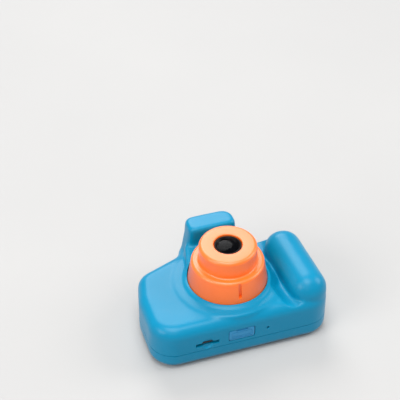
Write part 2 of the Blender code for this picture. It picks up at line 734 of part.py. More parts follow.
def usb_port():
    """The charging socket: a folded steel shell with its mouth in the bottom wall."""
    half, depth, height = USB_SIZE[0] / 2, USB_SIZE[1], USB_SIZE[2]
    low = (USB_X - half, USB_FRONT, PORT_Z)
    high = (USB_X + half, USB_FRONT + depth, PORT_Z + height)
    shell = box("usb_port", low, high, PARTS, STEEL)
    mouth_low = (USB_X - half + 0.5, USB_FRONT - 2.0, PORT_Z + 0.5)
    mouth_high = (USB_X + half - 0.5, USB_FRONT + 3.7, PORT_Z + height - 0.5)
    cut(shell, box("usb_mouth", mouth_low, mouth_high))
    tongue_low = (USB_X - 2.4, USB_FRONT + 0.6, PORT_Z + 1.1)
    tongue_high = (USB_X + 2.4, USB_FRONT + 4.2, PORT_Z + 1.7)
    join(shell, box("usb_tongue", tongue_low, tongue_high))
    return shell


def card_socket():
    """The folded steel cage that holds the memory card, open towards the bottom wall."""
    half = CARD_SIZE[0] / 2 + 1.3
    low = (CARD_X - half, -29.0, CARD_Z - 0.4)
    high = (CARD_X + half, -14.6, CARD_Z + 1.8)
    socket = box("card_socket", low, high, PARTS, STEEL)
    half = CARD_SIZE[0] / 2 + GAP
    cut(socket, box("card_way", (CARD_X - half, -32, CARD_Z), (CARD_X + half, -15.4, CARD_Z + 1.4)))
    return socket


def memory_card():
    half = CARD_SIZE[0] / 2
    low = (CARD_X - half, -30.9, CARD_Z + 0.2)
    high = (CARD_X + half, low[1] + CARD_SIZE[1], low[2] + CARD_SIZE[2])
    return box("memory_card", low, high, PARTS, CARD_BLACK)


def battery():
    """A flat pouch cell standing on edge inside the grip."""
    cell = box("battery", (30.0, -18.6, 7.0), (36.8, 8.0, 27.0), PARTS, CELL_SILVER)
    round_edges(cell, 1.4, 2)
    return cell


def speaker():
    x, y = SPEAKER_PLACE
    profile = [(0.0, 5.6), (3.2, 5.6), (3.4, 4.2), (5.0, 4.2), (5.2, 2.6), (0.0, 2.6)]
    return turned("speaker", profile, (x, y, 0.0), PARTS, INNER_BLACK, steps=24)


def microphone():
    return rod("microphone", (MIC_X, -29.6, MIC_Z), (MIC_X, -27.4, MIC_Z), 2.0, PARTS, STEEL, sides=16)


def indicator_light():
    x, y = LIGHT_PLACE
    profile = [
        (0.0, 8.0), (0.8, 8.0), (0.8, 3.4), (1.6, 3.4), (1.6, 2.5), (0.9, 2.5), (0.9, 0.6), (0.0, 0.4),
    ]
    return turned("indicator_light", profile, (x, y, 0.0), PARTS, LIGHT_CLEAR, steps=14)


# ---------------------------------------------------------------- screws
def screw(name, place, direction, length, shank, head, head_t):
    """A pan-head screw; its origin is under the head and its shank runs along direction."""
    profile = [
        (0.0, head_t), (head * 0.75, head_t), (head, head_t * 0.45), (head, 0.0), (shank, 0.0),
        (shank, -length), (0.0, -length),
    ]
    item = turned(name, profile, place, PARTS, STEEL, steps=12)
    item.rotation_mode = "QUATERNION"
    item.rotation_quaternion = (-Vector(direction)).to_track_quat("Z", "Y")
    deep, arm, half = head_t * 0.5, head * 0.55, head * 0.13
    for letter, (wide, tall) in (("a", (arm, half)), ("b", (half, arm))):
        slot_low = (-wide, -tall, head_t - deep)
        slot = box(f"{name}_slot_{letter}", slot_low, (wide, tall, head_t + 1.0))
        lift = Matrix.Translation(Vector(slot.location))
        slot.data.transform(lift)
        slot.location = (0.0, 0.0, 0.0)
        slot.parent = item
        cut(item, slot)
    return item


def screws():
    for number, post in enumerate(CASE_POSTS, 1):
        screw(f"case_screw_{number}", (*post[:2], 3.6), (0, 0, 1), 13.0, SHANK_R, HEAD_R, 1.5)
    under_wall = BODY_TOP - WALL - GAP
    for number, (x, y) in enumerate(barrel_screw_places(), 1):
        screw(f"barrel_screw_{number}", (x, y, under_wall), (0, 0, 1), 5.0, SHANK_R - 0.2, 1.7, 1.2)
    on_board = BOARD_Z + BOARD_T + GAP
    for number, (x, y) in enumerate(BOARD_POSTS, 1):
        screw(f"board_screw_{number}", (x, y, on_board), (0, 0, -1), 5.0, 0.7, 1.5, 1.0)


def build():
    front_cover()
    rear_cover()
    lens_barrel()
    lens_window()
    lens_hood()
    lens_module()
    lens_element()
    sensor_board()
    sensor_ribbon()
    screen_window()
    screen_gasket()
    lcd_panel()
    for key in KEYS:
        back_key(*key)
    keypad_membrane()
    main_board()
    board_parts()
    battery()
    speaker()
    microphone()
    indicator_light()
    wall_button("shutter_button", SHUTTER_AT, SHUTTER_OUT, SHUTTER_R, -6.0)
    edge_switch("shutter_switch", SHUTTER_AT, SHUTTER_OUT, -8.2)
    wall_button("power_button", POWER_AT, POWER_OUT, POWER_R, -6.0)
    edge_switch("power_switch", POWER_AT, POWER_OUT, -8.2)
    port_cover()
    strap_bar()
    screws()


build()
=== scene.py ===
"""Kids digital camera, lying on its back: lens up (+Z), hump away (+Y), grip on the right (+X).

Sizes are written in millimetres and turned into metres by mm(). Every finished piece keeps its object
at the origin and its place in its mesh.
"""
import math

import bpy
from mathutils import Matrix, Vector


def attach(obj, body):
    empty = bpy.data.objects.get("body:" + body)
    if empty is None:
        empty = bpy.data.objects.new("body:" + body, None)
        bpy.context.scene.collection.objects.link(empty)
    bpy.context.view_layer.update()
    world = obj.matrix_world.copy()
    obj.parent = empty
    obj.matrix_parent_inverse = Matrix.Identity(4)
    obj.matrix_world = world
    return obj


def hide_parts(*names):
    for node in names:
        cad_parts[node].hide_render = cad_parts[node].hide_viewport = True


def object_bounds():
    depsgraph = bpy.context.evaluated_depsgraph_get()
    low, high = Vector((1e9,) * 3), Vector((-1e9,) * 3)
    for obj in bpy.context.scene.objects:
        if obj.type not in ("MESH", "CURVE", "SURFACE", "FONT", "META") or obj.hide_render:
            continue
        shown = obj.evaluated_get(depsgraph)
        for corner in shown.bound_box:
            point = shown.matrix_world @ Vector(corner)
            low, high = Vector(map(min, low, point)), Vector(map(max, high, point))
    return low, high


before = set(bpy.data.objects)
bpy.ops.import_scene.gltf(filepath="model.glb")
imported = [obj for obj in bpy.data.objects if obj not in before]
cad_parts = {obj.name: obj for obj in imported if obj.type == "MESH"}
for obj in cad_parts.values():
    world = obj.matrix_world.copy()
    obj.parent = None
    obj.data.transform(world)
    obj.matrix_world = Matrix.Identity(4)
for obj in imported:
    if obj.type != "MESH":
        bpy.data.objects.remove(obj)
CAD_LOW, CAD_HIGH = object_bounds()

bpy.ops.object.select_all(action="DESELECT")


# ---------------------------------------------------------------- camera
# Looks down on the lens from beyond the bottom wall, a little from the left, through a long lens.
# The view stays on the Standard transform, so that the toy's strong colours keep their full strength.
AZIMUTH = math.radians(-18.0)
ELEVATION = math.radians(40.5)
AIM = Vector((-0.0054, 0.0256, 0.0565))
DISTANCE = 0.6133
away = Vector((
    -math.sin(AZIMUTH) * math.cos(ELEVATION),
    math.cos(AZIMUTH) * math.cos(ELEVATION),
    -math.sin(ELEVATION),
))
bpy.ops.object.camera_add(
    location=AIM - away * DISTANCE, rotation=away.to_track_quat("-Z", "Y").to_euler(),
)
camera = bpy.context.active_object
camera.name = "main_camera"
camera.data.lens = 108.0
camera.data.sensor_width = 36.0
bpy.context.scene.camera = camera
bpy.context.scene.view_settings.view_transform = "Standard"


# ---------------------------------------------------------------- floor and light
# A plain pale matt floor under a bright sky and five large soft lamps: the main one overhead, one behind
# that gives the plastic its sheen, one at each side, and a weak fill in front.
def linear(text):
    """An sRGB colour written as hex digits, as the linear colour that shaders take."""
    parts = [int(text[i:i + 2], 16) / 255.0 for i in (0, 2, 4)]
    turned = [p / 12.92 if p <= 0.04045 else ((p + 0.055) / 1.055) ** 2.4 for p in parts]
    return (*turned, 1.0)


def node(tree, kind, values=None, links=None, **settings):
    """Adds a shader node, sets its settings and socket values, and links other sockets into it."""
    made = tree.nodes.new("ShaderNode" + kind)
    for key, value in settings.items():
        setattr(made, key, value)
    for key, value in (values or {}).items():
        made.inputs[key].default_value = value
    for key, source in (links or {}).items():
        tree.links.new(source, made.inputs[key])
    return made


def blank(name):
    """A material with an empty node tree, and its object coordinates in metres."""
    paint = bpy.data.materials.new(name)
    paint.use_nodes = True
    tree = paint.node_tree
    tree.nodes.clear()
    return paint, tree, node(tree, "TexCoord").outputs["Object"]


def output(tree, shader):
    node(tree, "OutputMaterial", links={"Surface": shader.outputs[0]})


FLOOR_GAP = 0.0004
LIT_POINT = Vector((0.0, 0.0, 0.02))


def floor_finish():
    """Matt paper: a faint cloud of warmer and cooler white that keeps the floor from looking blank."""
    paint, tree, place = blank("pale_paper")
    cloud = node(tree, "TexNoise", {"Scale": 6.0, "Detail": 3.0}, {"Vector": place})
    tone = node(tree, "Mix", {"A": linear("AEADAC"), "B": linear("B5B4B2")},
                {"Factor": cloud.outputs["Fac"]}, data_type="RGBA")
    fibre = node(tree, "TexNoise", {"Scale": 1800.0}, {"Vector": place})
    bump = node(tree, "Bump", {"Strength": 0.08, "Distance": 0.0002},
                {"Height": fibre.outputs["Fac"]})
    output(tree, node(tree, "BsdfPrincipled", {"Roughness": 0.75},
                      {"Base Color": tone.outputs["Result"], "Normal": bump.outputs["Normal"]}))
    return paint


bpy.ops.mesh.primitive_plane_add(size=12.0, location=(0.0, 0.0, CAD_LOW.z - FLOOR_GAP))
floor = bpy.context.active_object
floor.name = "floor"
floor.data.materials.append(floor_finish())

for name, place, size, power in (
    ("overhead_softbox", (-0.12, -0.20, 1.35), 0.90, 13.0),
    ("back_softbox", (0.10, 0.95, 0.84), 0.80, 9.0),
    ("left_softbox", (-1.00, -0.30, 0.70), 0.75, 6.5),
    ("right_softbox", (1.00, -0.10, 0.70), 0.70, 5.8),
    ("front_fill", (-0.35, -1.00, 1.00), 0.90, 2.4),
):
    facing = (LIT_POINT - Vector(place)).to_track_quat("-Z", "Y")
    bpy.ops.object.light_add(type="AREA", location=place, rotation=facing.to_euler())
    lamp = bpy.context.active_object
    lamp.name = name
    lamp.data.shape = "DISK"
    lamp.data.size = size
    lamp.data.energy = power
sky = bpy.data.worlds.new("studio")
sky.use_nodes = True
sky.node_tree.nodes["Background"].inputs["Color"].default_value = linear("F4F6FA")
sky.node_tree.nodes["Background"].inputs["Strength"].default_value = 0.46
bpy.context.scene.world = sky


# ---------------------------------------------------------------- front cover
# The blue half shell: body, hump, grip and the skirt round the barrel, moulded in one satin ABS piece.
# The blocks are fused and softened as one form, then hollowed and cut; four posts take the case screws.
def mm(value):
    return value * 0.001


def moulded(name, colour, rough, grain=0.30, depth=0.10, coat=0.0, gloss=0.5):
    """Moulded plastic: a spark-eroded grain breaks the gloss and slow patches vary tone and sheen.

    The real grain is under a tenth of a millimetre; it is drawn two to three times as coarse to show.
    """
    paint, tree, place = blank(name)
    patch = node(tree, "TexNoise", {"Scale": 1000 / 28.0, "Detail": 2.0}, {"Vector": place})
    deeper = tuple(v * 0.90 for v in linear(colour)[:3]) + (1.0,)
    tone = node(tree, "Mix", {"A": deeper, "B": linear(colour)}, {"Factor": patch.outputs["Fac"]},
                data_type="RGBA")
    flow = node(tree, "TexNoise", {"Scale": 1000 / 7.0, "Detail": 3.0, "Distortion": 0.6},
                {"Vector": place})
    sheen = node(tree, "MapRange", {"To Min": rough - 0.05, "To Max": rough + 0.06},
                 {"Value": flow.outputs["Fac"]})
    grit = node(tree, "TexNoise", {"Scale": 1000 / grain, "Detail": 4.0, "Roughness": 0.65},
                {"Vector": place})
    bump = node(tree, "Bump", {"Strength": depth, "Distance": 0.00006},
                {"Height": grit.outputs["Fac"]})
    output(tree, node(
        tree, "BsdfPrincipled",
        {"IOR": 1.46, "Specular IOR Level": gloss, "Coat Weight": coat, "Coat Roughness": 0.35},
        {"Base Color": tone.outputs["Result"], "Roughness": sheen.outputs["Result"],
         "Normal": bump.outputs["Normal"]},
    ))
    return paint


# Satin ABS, coloured in the mass: a deep blue that only its rounded edges lighten.
BODY_ABS = moulded("moulded_abs_blue", "0083AA", 0.32, gloss=0.28)


def pick(item):
    """Makes one object the only selected one, and active."""
    bpy.ops.object.select_all(action="DESELECT")
    item.select_set(True)
    bpy.context.view_layer.objects.active = item


def modify(item, kind, **settings):
    """Puts one modifier on an object and applies it."""
    pick(item)
    step = item.modifiers.new(kind.lower(), kind)
    for key, value in settings.items():
        setattr(step, key, value)
    bpy.ops.object.modifier_apply(modifier=step.name)
    return item


def settle():
    """The object just added, with its place, turn and size moved into its mesh."""
    bpy.ops.object.transform_apply(location=True, rotation=True, scale=True)
    return bpy.context.active_object


def block(low, high):
    middle = [mm(a + b) / 2 for a, b in zip(low, high)]
    size = [mm(b - a) for a, b in zip(low, high)]
    bpy.ops.object.select_all(action="DESELECT")
    bpy.ops.mesh.primitive_cube_add(size=1.0, location=middle, scale=size)
    return settle()


def drum(start, end, radius, tip=None, sides=48):
    """A cylinder from one point to another, or a cone that ends in the tip radius."""
    a, b = Vector(start), Vector(end)
    turn = (b - a).to_track_quat("Z", "Y").to_euler()
    bpy.ops.object.select_all(action="DESELECT")
    bpy.ops.mesh.primitive_cone_add(
        vertices=sides, radius1=mm(radius), radius2=mm(radius if tip is None else tip),
        depth=mm((b - a).length), location=(a + b) * mm(0.5), rotation=turn,
    )
    return settle()


def outline(corners, inset=0.0, swing=6.0):
    """Points of a polygon of (x, y, corner radius), moved inwards by inset, each corner an arc."""
    count = len(corners)
    lines = []
    for index in range(count):
        start, end = Vector(corners[index][:2]), Vector(corners[(index + 1) % count][:2])
        along = (end - start).normalized()
        lines.append((start + Vector((-along.y, along.x)) * inset, along))
    points = []
    for index in range(count):
        before, after = lines[index - 1], lines[index]
        cross = before[1].cross(after[1])
        corner = before[0] + before[1] * ((after[0] - before[0]).cross(after[1]) / cross)
        turn = math.atan2(cross, before[1].dot(after[1]))
        radius = max(corners[index][2] - math.copysign(inset, turn), 0.0)
        if radius < 0.01:
            points.append(corner)
            continue
        first = corner - before[1] * radius * math.tan(abs(turn) / 2)
        centre = first + Vector((-before[1].y, before[1].x)) * math.copysign(radius, turn)
        steps = max(2, math.ceil(abs(turn) / math.radians(swing)))
        for step in range(steps + 1):
            points.append(centre + Matrix.Rotation(turn * step / steps, 2) @ (first - centre))
    return points


def slab(points, z0, z1, rim=0.0, steps=6):
    """A drawn outline pulled up into a block, with both of its rims rounded."""
    mesh = bpy.data.meshes.new("slab")
    mesh.from_pydata([(mm(x), mm(y), mm(z0)) for x, y in points], [], [range(len(points))])
    item = bpy.data.objects.new("slab", mesh)
    bpy.context.collection.objects.link(item)
    pick(item)
    bpy.ops.object.mode_set(mode="EDIT")
    bpy.ops.mesh.select_all(action="SELECT")
    bpy.ops.mesh.extrude_region_move(TRANSFORM_OT_translate={"value": (0.0, 0.0, mm(z1 - z0))})
    bpy.ops.mesh.select_all(action="SELECT")
    bpy.ops.mesh.normals_make_consistent(inside=False)
    bpy.ops.object.mode_set(mode="OBJECT")
    if rim:
        modify(item, "BEVEL", width=mm(rim), segments=steps, limit_method="ANGLE",
               angle_limit=math.radians(60), use_clamp_overlap=False)
    return item


def stack(sections):
    """A solid through closed sections of (points, height), given from the bottom up."""
    corners = [(mm(x), mm(y), mm(z)) for points, z in sections for x, y in points]
    count = len(sections[0][0])
    faces = [tuple(reversed(range(count)))]
    for level in range(len(sections) - 1):
        base = level * count
        for index in range(count):
            after = (index + 1) % count
            faces.append((base + index, base + after, base + count + after, base + count + index))
    faces.append(tuple(range(len(corners) - count, len(corners))))
    mesh = bpy.data.meshes.new("stack")
    mesh.from_pydata(corners, [], faces)
    item = bpy.data.objects.new("stack", mesh)
    bpy.context.collection.objects.link(item)
    return item


def weld(first, *others):
    """Joins objects into the first one's mesh."""
    pick(first)
    for other in others:
        other.select_set(True)
    bpy.ops.object.join()
    return first


def carve(item, *tools, operation="DIFFERENCE"):
    """Cuts tools out of an object, or fuses them to it, and clears them away."""
    for tool in tools:
        modify(item, "BOOLEAN", operation=operation, solver="EXACT", object=tool)
        bpy.data.objects.remove(tool)
    return item


def fuse(item, *others):
    return carve(item, *others, operation="UNION")


def finish(item, name, paint, body, slot, *nodes, angle=35.0):
    """Names, paints and smooths a piece, and gives it to a body in place of its plain solids."""
    item.name = name
    item.data.name = name
    item.data.materials.clear()
    item.data.materials.append(paint)
    pick(item)
    bpy.ops.object.shade_smooth_by_angle(angle=math.radians(angle))
    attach(item, body)
    if nodes:
        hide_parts(*nodes)
    return item


# Corners as (x, y, radius). The body's run from the bottom wall round the grip side to the lobe side.
BODY = (
    (-47.0, -32.0, 13.0), (47.0, -32.0, 12.0), (47.0, -10.0, 20.0), (44.8, 20.2, 9.5),
    (18.5, 23.8, 7.0), (15.0, 32.0, 6.0), (-15.0, 32.0, 6.0), (-18.5, 23.8, 7.0),
    (-42.9, 14.6, 10.0), (-47.0, -2.0, 20.0),
)
GRIP = ((27.5, -30.5, 9.4), (46.9, -30.5, 9.4), (44.6, 19.0, 9.4), (25.2, 19.0, 9.4))
LENS_Y = -3.0
SPLIT_Z = 9.0
POSTS = ((-38.3, 9.0, 24.0), (-39.0, -21.5, 24.0), (39.0, -24.0, 29.5), (38.6, 11.5, 29.5))
BOARD_POSTS = ((-16.0, 12.2), (22.0, -24.2))
FINGER_GROOVE = ((28.0, -44, 32.4), (23.2, 30, 29.6))
HUMP_TOP = 41.9
WALL = 2.0
BUTTON_Z = 15.4


def hump(inset):
    """Sections of the hump: wide where it meets the body, flaring in to its flat rounded face."""
    top = HUMP_TOP - inset
    sections = []
    for height, half, back, front in (
        (8.0, 14.9, 20.4, 31.9), (24.0, 14.9, 20.4, 31.9), (28.0, 14.2, 20.3, 31.9),
        (34.0, 13.2, 20.1, 31.8), (top - 2.6, 12.8, 19.9, 31.8), (top - 1.0, 12.6, 19.9, 31.5),
        (top - 0.3, 12.1, 20.3, 30.9), (top, 11.4, 20.9, 30.0),
    ):
        corners = ((-half, back, 2.8), (half, back, 2.8), (half, front, 5.6), (-half, front, 4.0))
        sections.append((outline(corners, inset), height))
    return stack(sections)


def front_form():
    """The whole outer form, fused from its blocks and softened."""
    form = slab(outline(BODY), 0.0, 25.5, 5.6)
    seat = drum((0, LENS_Y, 18), (0, LENS_Y, 26.2), 28.6, tip=27.6, sides=96)
    form = weld(form, hump(0.0), seat)
    modify(form, "REMESH", mode="VOXEL", voxel_size=mm(0.7))
    carve(form, drum(*FINGER_GROOVE, 8.6, sides=64))
    cone = drum((0, LENS_Y, 16.0), (0, LENS_Y, 27.4), 33.0, tip=21.2, sides=128)
    carve(cone, slab(outline(BODY, 0.6), 10.0, 40.0), operation="INTERSECT")
    ring = drum((0, LENS_Y, 20.0), (0, LENS_Y, 27.2), 22.4, sides=128)
    ramp = stack([
        (outline(((-21.4, -6.0, 4.0), (21.4, -6.0, 4.0), (half, 23.0, 3.0), (-half, 23.0, 3.0))), height)
        for half, height in ((16.4, 20.0), (14.6, 31.6))
    ])
    slope = math.atan2(4.4, 26.0)
    above = block((-50, -60, 0), (50, 60, 30))
    above.data.transform(Matrix.Rotation(slope, 4, "X"))
    above.data.transform(Matrix.Translation((0.0, mm(LENS_Y), mm(27.0))))
    carve(ramp, above)
    grip = slab(outline(GRIP), 8.0, 34.6, 9.2, steps=10)
    form = weld(form, cone, ring, ramp, grip)
    modify(form, "REMESH", mode="VOXEL", voxel_size=mm(0.55))
    modify(form, "SMOOTH", factor=0.5, iterations=26)
    return form


def front_hollow():
    """The space inside: body, hump and grip, each drawn in by the wall."""
    hollow = slab(outline(BODY, WALL), 2.2, 23.5, 3.4)
    fuse(hollow, hump(WALL))
    carve(hollow, drum(*FINGER_GROOVE, 8.6 + WALL))
    return fuse(hollow, slab(outline(GRIP, WALL), 12.0, 32.4, 6.8))


def wall_frame(start, end, share):
    """A place along a wall of the body between two corners, and the way out of the wall."""
    a, b = Vector(start[:2]), Vector(end[:2])
    along = (b - a).normalized()
    return a.lerp(b, share), Vector((along.y, -along.x, 0.0))


def off_wall(spot, distance):
    """A point at button height, that far outside a place on the wall."""
    place, out = spot
    return (place.x + out.x * distance, place.y + out.y * distance, BUTTON_Z)


SHUTTER = wall_frame(BODY[7], BODY[8], 0.42)
POWER = wall_frame(BODY[3], BODY[4], 0.78)

cover = front_form()
inside = fuse(front_hollow(), block((-60, -60, -5), (60, 60, SPLIT_Z + 0.3)))
carve(cover, inside)

# The four posts, the box behind the port flap and the box behind the strap pocket.
added = []
for x, y, top in POSTS:
    post = drum((x, y, 5.8), (x, y, top), 2.7, sides=32)
    added.append(carve(post, drum((x, y, 5.0), (x, y, 20.0), 1.3, sides=24)))
added.append(block((-10.5, -31.4, 9.8), (6.5, -29.0, 19.4)))
added.append(block((41.0, -6.6, 10.3), (45.6, 6.6, 20.7)))
fuse(cover, weld(*added))


def upright(item):
    """Stands a piece drawn flat in the bottom wall, so that its top faces the wall's outside."""
    item.data.transform(Matrix.Rotation(math.radians(90), 4, "X"))
    return item


# The openings, as separate tools that don't touch: the barrel's seat and well, the two buttons, the flap's
# recess and socket, the card slot with its thumb notch, the microphone hole and the strap pocket.
cuts = [fuse(drum((0, LENS_Y, 26.05), (0, LENS_Y, 60), 20.75, sides=160),
             drum((0, LENS_Y, 10), (0, LENS_Y, 30), 16.0, sides=96))]
for spot, radius in ((SHUTTER, 4.7), (POWER, 2.9)):
    lip = drum(off_wall(spot, -0.45), off_wall(spot, 1.2), radius, tip=radius + 1.6, sides=64)
    cuts.append(fuse(drum(off_wall(spot, -4.5), off_wall(spot, 5.0), radius, sides=64), lip))
FLAP_EDGE = ((-9.0, 11.0, 1.2), (5.0, 11.0, 1.2), (5.0, 18.2, 1.2), (-9.0, 18.2, 1.2))
cuts.append(fuse(upright(slab(outline(FLAP_EDGE), 30.5, 36.0)),
                 block((-6.25, -34, 11.9), (2.25, -28, 15.4))))
cuts.append(fuse(block((-26.1, -34, 12.1), (-13.9, -28, 14.3)),
                 drum((-20.0, -33.8, 13.2), (-20.0, -31.0, 13.2), 5.0, tip=2.4)))
cuts.append(fuse(drum((12.0, -34, 14.4), (12.0, -28, 14.4), 0.6, sides=24),
                 drum((12.0, -33, 14.4), (12.0, -31.6, 14.4), 2.0, tip=0.6, sides=24)))
cuts.append(fuse(block((42.3, -4.2, 11.6), (50.0, 4.2, 19.4)),
                 drum((45.0, -5.6, 15.5), (45.0, 5.6, 15.5), 1.2, sides=24)))
carve(cover, weld(*cuts))
finish(cover, "front_shell", BODY_ABS, "camera_body", "body_blue", "front_cover")


# ---------------------------------------------------------------- rear cover
# The flat back half of the case, moulded in the same blue ABS and held by four screws from behind.
# It holds the screen window in a shallow pocket and lets the keys, light and speaker through.
PAD = (-28.5, -2.0)
KEYS = (
    ("key_up", PAD[0], PAD[1] + 9.4, 3.2), ("key_down", PAD[0], PAD[1] - 9.4, 3.2),
    ("key_left", PAD[0] - 9.4, PAD[1], 3.2), ("key_right", PAD[0] + 9.4, PAD[1], 3.2),
    ("key_ok", *PAD, 3.8),
    ("key_menu", PAD[0] - 2.6, -22.0, 2.5), ("key_play", PAD[0] + 7.0, -22.0, 2.5),
)
SCREEN = (10.5, -2.5)
LIGHT = (-28.5, 13.6)
SPEAKER = (0.0, 22.4)


def pane(width, height, radius):
    """The outline of a rounded rectangle centred on the screen."""
    x, y = SCREEN
    return outline((
        (x - width / 2, y - height / 2, radius), (x + width / 2, y - height / 2, radius),
        (x + width / 2, y + height / 2, radius), (x - width / 2, y + height / 2, radius),
    ))


back = slab(outline(BODY, swing=4.0), 0.0, 25.5, 5.0, steps=8)
room = fuse(slab(outline(BODY, WALL), 2.2, 23.5, 3.0), block((-60, -60, SPLIT_Z), (60, 60, 60)))
carve(back, room)
tubes = [drum((x, y, 1.0), (x, y, 5.4), 3.4, sides=32) for x, y, _ in POSTS]
tubes += [drum((x, y, 1.0), (x, y, 10.5), 1.8, sides=32) for x, y in BOARD_POSTS]
fuse(back, weld(*tubes))
cuts = [fuse(slab(pane(46.0, 36.0, 3.0), -1.0, 1.4), slab(pane(42.0, 32.0, 2.0), -1.0, 4.0))]
for _, x, y, radius in KEYS:
    lip = drum((x, y, -0.3), (x, y, 0.35), radius + 0.95, tip=radius + 0.3, sides=64)
    cuts.append(fuse(drum((x, y, -1), (x, y, 4), radius + 0.3, sides=64), lip))
for x, y, _ in POSTS:
    well = drum((x, y, -1), (x, y, 3.9), 2.4, sides=48)
    lip = drum((x, y, -0.3), (x, y, 0.3), 2.95, tip=2.4, sides=48)
    cuts.append(fuse(well, lip, drum((x, y, 3), (x, y, 7), 1.3, sides=24)))
for x, y in BOARD_POSTS:
    cuts.append(drum((x, y, 4.5), (x, y, 12), 1.0, sides=24))
for ring, count in ((0.0, 1), (2.6, 6)):
    for step in range(count):
        swing = 2 * math.pi * step / count
        x, y = SPEAKER[0] + ring * math.cos(swing), SPEAKER[1] + ring * math.sin(swing)
        lip = drum((x, y, -0.2), (x, y, 0.25), 0.95, tip=0.6, sides=20)
        cuts.append(fuse(drum((x, y, -1), (x, y, 4), 0.6, sides=20), lip))
cuts.append(drum((*LIGHT, -1), (*LIGHT, 4), 1.2, sides=32))
carve(back, weld(*cuts))
finish(back, "rear_shell", BODY_ABS, "camera_body", "body_blue", "rear_cover")


# ---------------------------------------------------------------- lens barrel
# One orange ABS moulding in two tiers, pushed through the cover and screwed from inside. A slot in its
# lower tier marks the upright position; the plastic is satin, so its ledges catch broad soft light.
def lathe(profile, sides=128):
    """A profile of (radius, height) spun about the vertical axis, and closed unless it meets the axis."""
    count = len(profile)
    edges = [(index, index + 1) for index in range(count - 1)]
    if min(point[0] for point in profile) > 0.001:
        edges.append((count - 1, 0))
    mesh = bpy.data.meshes.new("lathe")
    mesh.from_pydata([(mm(point[0]), 0.0, mm(point[1])) for point in profile], edges, [])
    item = bpy.data.objects.new("lathe", mesh)
    bpy.context.collection.objects.link(item)
    modify(item, "SCREW", steps=sides, render_steps=sides, use_merge_vertices=True,
           merge_threshold=1e-5)
    bpy.ops.object.mode_set(mode="EDIT")
    bpy.ops.mesh.select_all(action="SELECT")
    bpy.ops.mesh.remove_doubles(threshold=1e-6)
    bpy.ops.mesh.normals_make_consistent(inside=False)
    bpy.ops.object.mode_set(mode="OBJECT")
    return item


def at(item, x, y, z=0.0):
    item.data.transform(Matrix.Translation((mm(x), mm(y), mm(z))))
    return item


# The same ABS in orange, with a clearer skin: its flat faces lighten to peach where they face a lamp.
BARREL_ABS = moulded("moulded_abs_orange", "FF720F", 0.44, grain=0.26, depth=0.08, coat=1.0)
barrel = at(lathe(outline((
    (7.2, 47.3, 0.0), (7.2, 49.5, 0.55), (14.8, 49.5, 1.9), (14.8, 39.4, 0.9), (18.5, 39.4, 1.7),
    (20.5, 26.3, 0.2), (15.7, 26.3, 0.0), (15.7, 21.5, 0.2), (13.9, 21.5, 0.2), (13.9, 30.0, 0.0),
    (16.4, 30.0, 0.5), (16.4, 37.0, 0.5), (12.6, 37.0, 0.5), (12.6, 46.7, 0.5), (6.0, 46.7, 0.0),
    (6.0, 47.3, 0.0),
), swing=8.0), 192), 0.0, LENS_Y)
SLOT = ((-0.8, 30.0, 0.79), (0.8, 30.0, 0.79), (0.8, 45.0, 0.0), (-0.8, 45.0, 0.0))
carve(barrel, upright(slab(outline(SLOT), 21.3, 26.0)))
SCREW_CIRCLE = 17.6
pilots = []
for turn in (90, 210, 330):
    x = SCREW_CIRCLE * math.cos(math.radians(turn))
    y = LENS_Y + SCREW_CIRCLE * math.sin(math.radians(turn))
    pilots.append(drum((x, y, 25), (x, y, 28.9), 1.1, sides=24))
carve(barrel, weld(*pilots))
finish(barrel, "barrel_moulding", BARREL_ABS, "camera_body", "barrel_orange", "lens_barrel")


# ---------------------------------------------------------------- lens
# A black bezel ring holds a small dome of tinted glass; behind it a stepped black cone leads down to the
# little threaded lens. Tinted glass with almost no reflection and matt black paint keep it dark.
def smooth_black(name, colour, rough, coat, ior=1.5, worn="1C1E24"):
    """Black enamel or dye: near black, with faint polishing haze under any clear skin."""
    paint, tree, place = blank(name)
    haze = node(tree, "TexNoise", {"Scale": 1000 / 3.0, "Detail": 4.0}, {"Vector": place})
    sheen = node(tree, "MapRange", {"To Min": rough * 0.7, "To Max": rough * 1.4},
                 {"Value": haze.outputs["Fac"]})
    tone = node(tree, "Mix", {"A": linear(colour), "B": linear(worn)},
                {"Factor": haze.outputs["Fac"]}, data_type="RGBA")
    output(tree, node(
        tree, "BsdfPrincipled", {"IOR": ior, "Coat Weight": coat, "Coat Roughness": 0.05},
        {"Base Color": tone.outputs["Result"], "Roughness": sheen.outputs["Result"]},
    ))
    return paint


def glass(name, colour, coat_tint, rough=0.03, ior=1.5, coat=0.5):
    """Clear glass or acrylic: tinted in the mass, a little smeared, with a tinted coating on top."""
    paint, tree, place = blank(name)
    smear = node(tree, "TexNoise", {"Scale": 1000 / 4.0, "Detail": 3.0}, {"Vector": place})
    sheen = node(tree, "MapRange", {"To Min": rough, "To Max": rough + 0.05},
                 {"Value": smear.outputs["Fac"]})
    output(tree, node(
        tree, "BsdfPrincipled",
        {"Base Color": linear(colour), "IOR": ior, "Transmission Weight": 0.9, "Coat Weight": coat,
         "Coat Tint": linear(coat_tint), "Coat Roughness": 0.04},
        {"Roughness": sheen.outputs["Result"]},
    ))
    return paint


